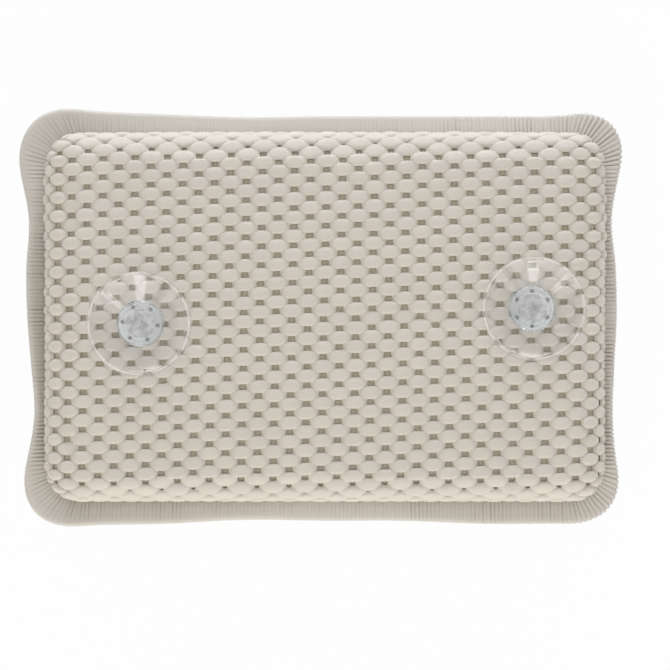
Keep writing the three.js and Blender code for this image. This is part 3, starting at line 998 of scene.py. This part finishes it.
reach_values = np.concatenate(list(BAND_REACH.values())) / 1000
print("band stands out from", 1000 * reach_values.min(), "to", 1000 * reach_values.max(), "mm")

# %% [markdown]
# The ribs are spaced evenly on a line between the seam and the fold, so that they fan out round the corners.
# Each is a little stronger or weaker than the next, by chance and in patches. In some places they fade
# before the fold, and at the right corners they run over it and show as teeth. Such shares are listed from
# the middle of the right side: a side's middle, a corner, and so on, against the clock.

# %% Ribs, evenly spaced between the seam and the fold
RIB_PITCH = 0.002175
RIB_LINE = 0.4
STEPS_PER_RIB = 6
FINE_STEPS = 4000
RIB_SPREAD = (0.4, 1.2)
RIB_PATCH = 0.02
RIB_SHARE = np.array([1.0, 0.95, 0.15, 0.6, 1.0, 0.8, 0.35, 0.9])

fine_lengths = np.linspace(0, seam_length, FINE_STEPS + 1)
fine_points, fine_outs, fine_stations = seam_walk(fine_lengths)
rib_line = fine_points + RIB_LINE * fine_outs * around(reach_values, fine_stations)[:, None]
rib_used = np.concatenate([[0], np.cumsum(np.linalg.norm(np.diff(rib_line, axis=0), axis=1))])
rib_count = int(rib_used[-1] / RIB_PITCH)
walk_count = rib_count * STEPS_PER_RIB
walk_lengths = np.interp(np.arange(walk_count) * rib_used[-1] / walk_count, rib_used, fine_lengths)
walk_points, walk_outs, walk_stations = seam_walk(walk_lengths)
from_middle = walk_stations - MIDDLE_STATION
band_reach = around(reach_values, walk_stations)
rib_phase = np.arange(walk_count) % STEPS_PER_RIB / STEPS_PER_RIB
rib_groove = (1 - np.sin(np.pi * rib_phase)) ** 2
rib_groove *= around(RIB_SHARE, from_middle)
rib_strength = np.repeat(np.random.default_rng(SEED).uniform(*RIB_SPREAD, rib_count), STEPS_PER_RIB)
rib_patches = np.array([noise.noise((x / RIB_PATCH, y / RIB_PATCH, SEED)) for x, y in walk_points])
rib_groove *= rib_strength * (1 + rib_patches)
print(rib_count, "ribs, one every", round(1000 * rib_used[-1] / rib_count, 2), "mm")

# %% Sections of the band
BAND_INNER = 0.0004
BAND_PINCH = 0.0011
FOLD_HALF = 0.0024
RIB_GROOVE = 0.0008
FOLD_GROOVE = 0.00045
FOLD_STEPS = 7
FACE_STEPS = 5
WAVE_HEIGHT = 0.0010
WAVES = 7
BAND_DROOP = np.array([-2.5, 3.2, -6.5, -1.5]) / 1000
RIB_FADE = np.array([0.0, 0.2, 0.6, 0.9, 0.25, 0.85, 0.4, 0.1])
TEETH = np.array([0.35, 0.7, 0.1, 0.05, 0.15, 0.05, 0.1, 0.7]) / 1000
MEAN_TOOTH = 2 / np.pi


def band_sections():
    """Points of the band and the depth of the grooves there, one closed section after another: top face,
    fold and bottom face."""
    turn = 2 * np.pi * walk_stations / stations_round
    lift = WAVE_HEIGHT * np.sin(WAVES * turn + np.sin(2 * turn))
    lift -= around(BAND_DROOP, from_middle)
    teeth = around(TEETH, from_middle) * rib_strength * (np.sin(np.pi * rib_phase) - MEAN_TOOTH)
    fold_start = band_reach - FOLD_HALF + teeth
    fade = around(RIB_FADE, from_middle)
    top, bottom, fold = [], [], []
    for share in np.linspace(0, 1, FACE_STEPS, endpoint=False):
        groove = rib_groove * (1 - fade * share**3)
        out = BAND_INNER + (fold_start - BAND_INNER) * share
        half = FOLD_HALF - BAND_PINCH * (1 - share) ** 3 - RIB_GROOVE * groove
        top.append((out, lift * share + half, groove))
        bottom.append((out, lift * share - half, groove))
    groove = rib_groove * (1 - fade)
    radius = FOLD_HALF - FOLD_GROOVE * groove
    for bend in np.linspace(np.pi / 2, -np.pi / 2, FOLD_STEPS):
        fold.append((fold_start + radius * np.cos(bend), lift + radius * np.sin(bend), groove))
    points, grooves = [], []
    for out, height, groove in top + fold + bottom[::-1]:
        plan = walk_points + walk_outs * out[:, None]
        points.append(np.column_stack([plan, seam_height + height]))
        grooves.append(groove)
    return np.stack(points, axis=1), np.stack(grooves, axis=1)


band_points, band_grooves = band_sections()
section_size = band_points.shape[1]
print("band has", walk_count, "sections of", section_size, "points")

# %% Band as a mesh
band_quads = [(a, d, c, b) for a, b, c, d in ring_faces(walk_count, section_size, closed=True)]
band = new_object("ribbed_band", band_points.reshape(-1, 3), band_quads)
add_value(band, "groove", band_grooves.ravel())
weld(band)
print("band has", len(band.data.polygons), "faces")

# %% Band material
BAND_COLOUR = (0.618, 0.580, 0.524)
# Painted shade: the band's colour in the depth of its grooves.
BAND_GROOVE_SHADE_COLOUR = (0.400, 0.367, 0.320)
BAND_ROUGHNESS, BAND_PORE_STRENGTH = 0.6, 0.3


def band_material():
    material, nodes, links = new_material("ribbed_foam")
    shader = nodes["Principled BSDF"]
    # Painted shade: the band darkens in its grooves, by the stored groove depth.
    colour = colour_ramp(nodes, links, value_of(nodes, "groove"), BAND_COLOUR, BAND_GROOVE_SHADE_COLOUR)
    links.new(colour, shader.inputs["Base Color"])
    shader.inputs["Roughness"].default_value = BAND_ROUGHNESS
    shader.inputs["Specular IOR Level"].default_value = FOAM_SPECULAR
    add_pores(nodes, links, PORE_SIZE, BAND_PORE_STRENGTH, PORE_DEPTH)
    return material


band.data.materials.append(band_material())
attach(band, "pillow")
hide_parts("edge_band")
print("band dressed")

# %% [markdown]
# ## Suction cups
#
# A cup is one moulding of soft clear vinyl: a thin dish, a thick hub, a neck and a domed head that buttons
# into the pillow. Everything but six small pockets is round, so we draw half of its section and revolve it.
# The heights come from the land, and the corners of the section are rounded a little, because clear edges
# show mostly by the light that runs along them.

# %% Section of a cup
CUP_RADIUS, CUP_RISE = 0.0275, 0.012
RIM_WIDTH, RIM_WALL, DISH_WALL, DISH_BOW = 0.0021, 0.0009, 0.0014, 0.0004
HUB_RADIUS, HUB_WALL, HUB_LEDGE, HUB_RECESS = 0.0116, 0.0038, 0.0035, 0.0008
STEP_INSET, STEP_DROP = 0.0018, 0.0003
GATE_RADIUS, GATE_RISE = 0.0012, 0.0005
NECK_RADIUS, HEAD_FLANGE, HEAD_SIDE, HEAD_DOME = 0.004, 0.0032, 0.002, 0.0036
HUB_SEAT, HEAD_SEAT = 0.002418, -0.005618
UNDERSIDE_DEGREES = 7
UNDERSIDE_SLOPE = np.tan(np.radians(UNDERSIDE_DEGREES))
CURVE_STEPS = 24
UNDERSIDE_STEPS = 12


def dish_curves(rim, hub_top):
    """Inside of the dish from the rim down to the hub, and its back, a wall's thickness away."""
    mouth, foot = np.array([CUP_RADIUS - RIM_WIDTH, rim]), np.array([HUB_RADIUS, hub_top])
    hang = np.array([0, 4 / 3 * DISH_BOW])
    inside = bezier(mouth, (2 * mouth + foot) / 3 - hang, (mouth + 2 * foot) / 3 - hang, foot, CURVE_STEPS)
    run = np.gradient(inside, axis=0)
    outward = np.column_stack([-run[:, 1], run[:, 0]]) / np.linalg.norm(run, axis=1, keepdims=True)
    wall = np.linspace(RIM_WALL, DISH_WALL, len(inside))[:, None]
    return inside, inside + wall * outward


def cup_section():
    """Points (radius, height) from the foot of the head to the middle of the hub, heights from the land."""
    rim = HUB_SEAT + CUP_RISE
    hub_edge = HUB_SEAT + (HUB_RADIUS - NECK_RADIUS) * UNDERSIDE_SLOPE
    hub_top = HUB_SEAT + HUB_WALL
    hub_floor = hub_top - HUB_RECESS
    recess = HUB_RADIUS - HUB_LEDGE
    head_radius = NECK_RADIUS + HEAD_FLANGE
    head_edge = HEAD_SEAT - HEAD_FLANGE * UNDERSIDE_SLOPE
    turn = np.linspace(-np.pi / 2, 0, CURVE_STEPS)
    dome = np.column_stack([head_radius * np.cos(turn), head_edge - HEAD_SIDE + HEAD_DOME * np.sin(turn)])
    dome[0, 0] = 0
    waist = [(head_radius, head_edge), (NECK_RADIUS, HEAD_SEAT)]
    underside = np.linspace((NECK_RADIUS, HUB_SEAT), (HUB_RADIUS, hub_edge), UNDERSIDE_STEPS)
    inside, back = dish_curves(rim, hub_top)
    lip = [(CUP_RADIUS, rim - RIM_WALL), (CUP_RADIUS, rim)]
    step = HUB_RADIUS - STEP_INSET
    ledge = [(step, hub_top), (step - STEP_DROP, hub_top - STEP_DROP), (recess, hub_top - STEP_DROP)]
    hub = [*ledge, (recess, hub_floor), (GATE_RADIUS, hub_floor)]
    gate = [(GATE_RADIUS, hub_floor + GATE_RISE), (0, hub_floor + GATE_RISE)]
    return np.vstack([dome, waist, underside, back[::-1], lip, inside, hub, gate])


section = cup_section()
rim_height = round(1000 * section[:, 1].max(), 2)
print("cup section has", len(section), "points, rim at", rim_height, "mm over the land")

# %% Round the corners of a section
SOFT_CORNER = 0.0004
SHARP_BEND = 0.5
LEAST_PRODUCT = 1e-15


def softened(line, radius):
    """Replaces each sharp corner of a section by a short bend."""
    result = [line[0]]
    for before, corner, after in zip(line, line[1:], line[2:]):
        arrive, leave = corner - before, after - corner
        longest = np.linalg.norm(arrive), np.linalg.norm(leave)
        bend = np.arccos(np.clip(arrive @ leave / max(longest[0] * longest[1], LEAST_PRODUCT), -1, 1))
        if bend < SHARP_BEND:
            result.append(corner)
            continue
        start = corner - arrive / longest[0] * min(radius, longest[0] / 3)
        end = corner + leave / longest[1] * min(radius, longest[1] / 3)
        result += [start, (start + 2 * corner + end) / 4, end]
    return np.array(result + [line[-1]])


section = softened(softened(section, SOFT_CORNER), SOFT_CORNER / 3)
print("softened section has", len(section), "points")

# %% Revolve the section
ROUND_SIDES = 96


def revolved(name, line, axis, base, closed=False):
    """Surface of a section turned about an upright axis. An open section starts and ends on the axis."""
    turn = 2 * np.pi * np.arange(ROUND_SIDES) / ROUND_SIDES
    points = np.array([
        (axis[0] + radius * np.cos(t), axis[1] + radius * np.sin(t), base + height)
        for radius, height in line
        for t in turn
    ])
    piece = new_object(name, points, ring_faces(len(line), ROUND_SIDES, closed))
    weld(piece)
    return piece


cups = {side: revolved(f"{side}_clear_cup", section, cup_axis[side], land_height[side]) for side in SIDES}
print("before the pockets, volume and open edges:", {side: measured(cups[side]) for side in SIDES})

# %% Pockets under the hub
POCKET_COUNT = 6
POCKET_RADIUS, POCKET_INSET, POCKET_DEPTH = 0.0010, 0.0022, 0.0012
POCKET_TURN = {"left": np.radians(-6), "right": np.radians(30)}
POCKET_SIDES = 20

pocket_circle = HUB_RADIUS - POCKET_INSET
pocket_top = HUB_SEAT + (pocket_circle - NECK_RADIUS) * UNDERSIDE_SLOPE + POCKET_DEPTH
pocket_places = {}
for side in SIDES:
    turns = POCKET_TURN[side] + 2 * np.pi * np.arange(POCKET_COUNT) / POCKET_COUNT
    pocket_places[side] = pocket_circle * np.column_stack([np.cos(turns), np.sin(turns)])
    foot = land_height[side] + HUB_SEAT
    for place in cup_axis[side] + pocket_places[side]:
        cut(cups[side], post(POCKET_RADIUS, foot, land_height[side] + pocket_top, place, POCKET_SIDES))
print("volume and open edges of the cups:", {side: measured(cups[side]) for side in SIDES})

# %% [markdown]
# ## Clear vinyl
#
# The vinyl is clear with a faint cool tint, and milky where it is thick, in the hub and in the rings below
# it. A glass shader bends the view of the beads behind it, as the real dish does, but it would also block
# the lamps and leave dark patches, because light that passes glass by chance is hard to find. So lamp light
# and bounced light go straight through, and only what is seen is bent. A milky finish is the same glass
# with some of its light scattered, which the transmission weight sets.

# %% Clear and milky materials
VINYL_IOR = 1.45
CLEAR_COLOUR, MILKY_COLOUR = (0.975, 0.983, 0.985), (0.51, 0.52, 0.516)
CLEAR_SHADOW, MILKY_SHADOW = (0.91, 0.915, 0.92), (0.9, 0.91, 0.92)
CLEAR_ROUGHNESS, MILKY_ROUGHNESS, MILKY_CLEARNESS = 0.07, 0.25, 0.3
SCATTER_ROUGHNESS = 0.3
SCATTERING = {
    "frosted_vinyl": ((0.66, 0.668, 0.66), 0.2),
    # Painted highlight: a light finish for the wall round the hub's recess.
    "bright_vinyl": ((0.82, 0.825, 0.82), 0.2),
    # Painted shade: a near-black finish for the faces inside the pockets.
    "pocket_shade_vinyl": ((0.16, 0.165, 0.165), 0.1),
}


def vinyl_material(name, colour, clearness, roughness, shadow):
    material, nodes, links = new_material(name)
    shader = nodes["Principled BSDF"]
    shader.inputs["Base Color"].default_value = (*colour, 1)
    shader.inputs["Roughness"].default_value = roughness
    shader.inputs["IOR"].default_value = VINYL_IOR
    shader.inputs["Transmission Weight"].default_value = clearness
    see_through = nodes.new("ShaderNodeBsdfTransparent")
    see_through.inputs["Color"].default_value = (*shadow, 1)
    mix = nodes.new("ShaderNodeMixShader")
    links.new(any_ray(nodes, links, "Is Shadow Ray", "Is Diffuse Ray"), mix.inputs["Fac"])
    links.new(shader.outputs[0], mix.inputs[1])
    links.new(see_through.outputs[0], mix.inputs[2])
    links.new(mix.outputs[0], nodes["Material Output"].inputs["Surface"])
    return material


def graded_vinyl():
    """Vinyl that goes from clear to milky with the number stored at each point."""
    material = vinyl_material("graded_vinyl", CLEAR_COLOUR, 1.0, CLEAR_ROUGHNESS, CLEAR_SHADOW)
    nodes, links = material.node_tree.nodes, material.node_tree.links
    shader, milk = nodes["Principled BSDF"], value_of(nodes, "milk")
    links.new(colour_ramp(nodes, links, milk, CLEAR_COLOUR, MILKY_COLOUR), shader.inputs["Base Color"])
    ends = {"Roughness": (CLEAR_ROUGHNESS, MILKY_ROUGHNESS), "Transmission Weight": (1, MILKY_CLEARNESS)}
    for socket, (clear, milky) in ends.items():
        grade = nodes.new("ShaderNodeMapRange")
        grade.inputs["To Min"].default_value = clear
        grade.inputs["To Max"].default_value = milky
        links.new(milk, grade.inputs["Value"])
        links.new(grade.outputs["Result"], shader.inputs[socket])
    return material


cup_vinyl = graded_vinyl()
frosted_vinyl, bright_vinyl, pocket_shade_vinyl = (
    vinyl_material(name, colour, clearness, SCATTER_ROUGHNESS, MILKY_SHADOW)
    for name, (colour, clearness) in SCATTERING.items()
)
finishes = (cup_vinyl, frosted_vinyl, bright_vinyl, pocket_shade_vinyl)
print("finishes:", [finish.name for finish in finishes])

# %% [markdown]
# The milk isn't even. Each point of a cup stores how milky it is, from 1 under the hub to 0 at the hub's
# edge, and the material above blends tint, roughness and transmission by that number. The sunk floor of
# the hub is mottled, because the mould was rough there: a noise gives its blotches and a bump.

# %% Mottled floor of the hub
FROST_SIZE, FROST_STRENGTH, FROST_DEPTH = 0.0035, 0.9, 0.0012
FROST_COLOURS = ((0.42, 0.425, 0.42), (0.59, 0.595, 0.586))
FROST_RANGE = (0.4, 0.6)

frost_nodes, frost_links = frosted_vinyl.node_tree.nodes, frosted_vinyl.node_tree.links
blotches = add_pores(frost_nodes, frost_links, FROST_SIZE, FROST_STRENGTH, FROST_DEPTH).outputs["Fac"]
frost_colour = colour_ramp(frost_nodes, frost_links, blotches, *FROST_COLOURS, FROST_RANGE)
frost_links.new(frost_colour, frost_nodes["Principled BSDF"].inputs["Base Color"])
print("hub floor runs between", FROST_COLOURS)

# %% Dress the cups
MILK_RADIUS, MILK_FADE = 0.0102, 0.0022
UNDERSIDE_REACH = 0.0016
UNDERSIDE = HUB_SEAT + UNDERSIDE_REACH
NEAR = 0.0001

recess_radius = HUB_RADIUS - HUB_LEDGE


def milk_share(off_axis):
    """1 in the thick middle of a hub or ring, falling to 0 at its edge."""
    return 1 - smooth_step((off_axis - MILK_RADIUS) / MILK_FADE)


def points_of(piece):
    points = np.empty(3 * len(piece.data.vertices))
    piece.data.vertices.foreach_get("co", points)
    return points.reshape(-1, 3)


def finish_of(place, height, pockets):
    """Which finish a face of a cup gets, from its place off the axis and its height over the land."""
    off_axis = np.linalg.norm(place)
    to_pocket = np.min(np.linalg.norm(pockets - place, axis=1))
    # Faces inside a pocket get the painted shade.
    if height < pocket_top + NEAR and off_axis > NECK_RADIUS and to_pocket < POCKET_RADIUS + NEAR:
        return finishes.index(pocket_shade_vinyl)
    if height < UNDERSIDE or off_axis > recess_radius + NEAR:
        return finishes.index(cup_vinyl)
    # The wall round the recess gets the painted highlight; the floor inside it gets the mottled finish.
    return finishes.index(bright_vinyl if off_axis > recess_radius - NEAR else frosted_vinyl)


for side in SIDES:
    cup = cups[side]
    points = points_of(cup)
    below = points[:, 2] - land_height[side] < UNDERSIDE
    add_value(cup, "milk", below * milk_share(np.linalg.norm(points[:, :2] - cup_axis[side], axis=1)))
    for finish in finishes:
        cup.data.materials.append(finish)
    for face in cup.data.polygons:
        centre = np.array(face.center)
        height = centre[2] - land_height[side]
        face.material_index = finish_of(centre[:2] - cup_axis[side], height, pocket_places[side])
    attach(cup, f"{side}_suction")
    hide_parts(f"{side}_cup")
print("cups dressed")

# %% [markdown]
# Each dish mirrors a broad streak at its top and a slanting one beside it. Strip lamps can make them, but
# lamps that strong would also light the foam. Light linking solves that: a lamp with a receiver collection
# lights only what is in it, so each cup gets two strips of its own.

# %% Streaks mirrored in the cups
STRIPS = {
    "front_strip": {"place": (0.27, -1.2, 0.70), "size": (0.36, 1.0), "power": 3.0, "colour": WHITE},
    "cross_strip": {"place": (-0.63, -0.77, 0.81), "size": (0.22, 0.5), "power": 1.0, "colour": WHITE},
}

for side, mirrored in zip(SIDES, (-1, 1)):
    only_cup = bpy.data.collections.new(f"{side}_cup_only")
    only_cup.objects.link(cups[side])
    for strip_name, strip_values in STRIPS.items():
        x, y, z = strip_values["place"]
        strip = add_lamp(f"{side}_{strip_name}", **{**strip_values, "place": (mirrored * x, y, z)})
        strip.light_linking.receiver_collection = only_cup
print("strips for each cup:", list(STRIPS))

# %% [markdown]
# ## Collars and washers
#
# Under each hub lies a thin clear collar, and inside the cover a washer that keeps the head from pulling
# through. Both are plain rings with a small chamfer. The frame's boxes give their radii and heights, and
# the same revolve makes them, this time with a closed section that doesn't touch the axis.

# %% Rings under the hubs
RING_BORE = 0.00472
RING_CHAMFER = 0.0004


def ring_section(radius, bottom, top):
    edge = radius - RING_CHAMFER
    return np.array([
        (RING_BORE, bottom),
        (edge, bottom),
        (radius, bottom + RING_CHAMFER),
        (radius, top - RING_CHAMFER),
        (edge, top),
        (RING_BORE, top),
    ])


rings = {}
for side in SIDES:
    for kind in ("collar", "washer"):
        node = f"{side}_{kind}"
        low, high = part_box(node)
        line = ring_section((high.x - low.x) / 2, low.z, high.z)
        rings[node] = revolved(f"{node}_ring", line, cup_axis[side], 0, closed=True)
        off_axis = np.linalg.norm(points_of(rings[node])[:, :2] - cup_axis[side], axis=1)
        add_value(rings[node], "milk", milk_share(off_axis))
        rings[node].data.materials.append(cup_vinyl)
        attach(rings[node], frame["nodes"][node]["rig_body"])
        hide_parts(node)
print("rings:", list(rings))

# %% [markdown]
# ## The end

# Soft edges may stand a little proud of the solids, but the part must not grow.

# %% Last import
import json
